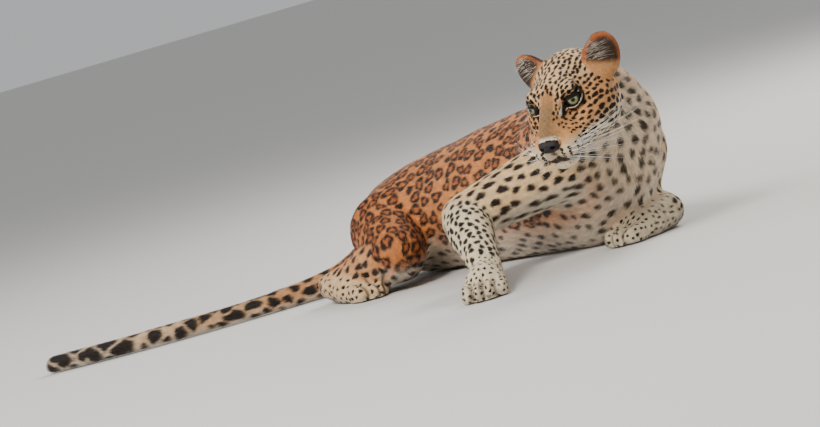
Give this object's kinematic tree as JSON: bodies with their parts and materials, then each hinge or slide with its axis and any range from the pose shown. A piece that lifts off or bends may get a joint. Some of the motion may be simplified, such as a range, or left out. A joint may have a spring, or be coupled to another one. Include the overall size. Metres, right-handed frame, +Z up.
{
  "type": "lying leopard, life-size still model",
  "caption": "Still life-size model of a spotted leopard lying on its belly with its head raised and turned, one foreleg out to the side and its tail laid out behind.",
  "frame": {"origin": "centre of the bounding box's base, on the floor the animal lies on", "axes": "+X the way the chest faces, +Y the animal's left, +Z up"},
  "size_m": [1.3862, 0.8122, 0.3859],
  "materials": {
    "coat_tawny": "short fur, tawny with dark rosettes",
    "coat_pale": "short fur, cream with dark spots",
    "coat_dark": "short fur, nearly black",
    "nose_leather": "damp bare skin",
    "eye": "wet, pale green iris"
  },
  "bodies": {
    "root": {"torso_front": "coat_tawny", "torso_middle": "coat_tawny", "torso_rear": "coat_tawny", "neck": "coat_pale", "head": "coat_tawny", "lower_jaw": "coat_pale", "nose": "nose_leather", "eye_right": "eye", "eye_left": "eye", "ear_right": "coat_dark", "ear_left": "coat_dark", "upper_arm_right": "coat_tawny", "forearm_right": "coat_pale", "fore_paw_right": "coat_pale", "upper_arm_left": "coat_tawny", "forearm_left": "coat_pale", "fore_paw_left": "coat_pale", "thigh_right": "coat_tawny", "shank_right": "coat_tawny", "hind_foot_right": "coat_pale", "thigh_left": "coat_tawny", "shank_left": "coat_tawny", "hind_foot_left": "coat_pale", "tail_1": "coat_tawny", "tail_2": "coat_tawny", "tail_3": "coat_dark", "tail_4": "coat_dark", "tail_5": "coat_dark"}
  },
  "joints": []
}
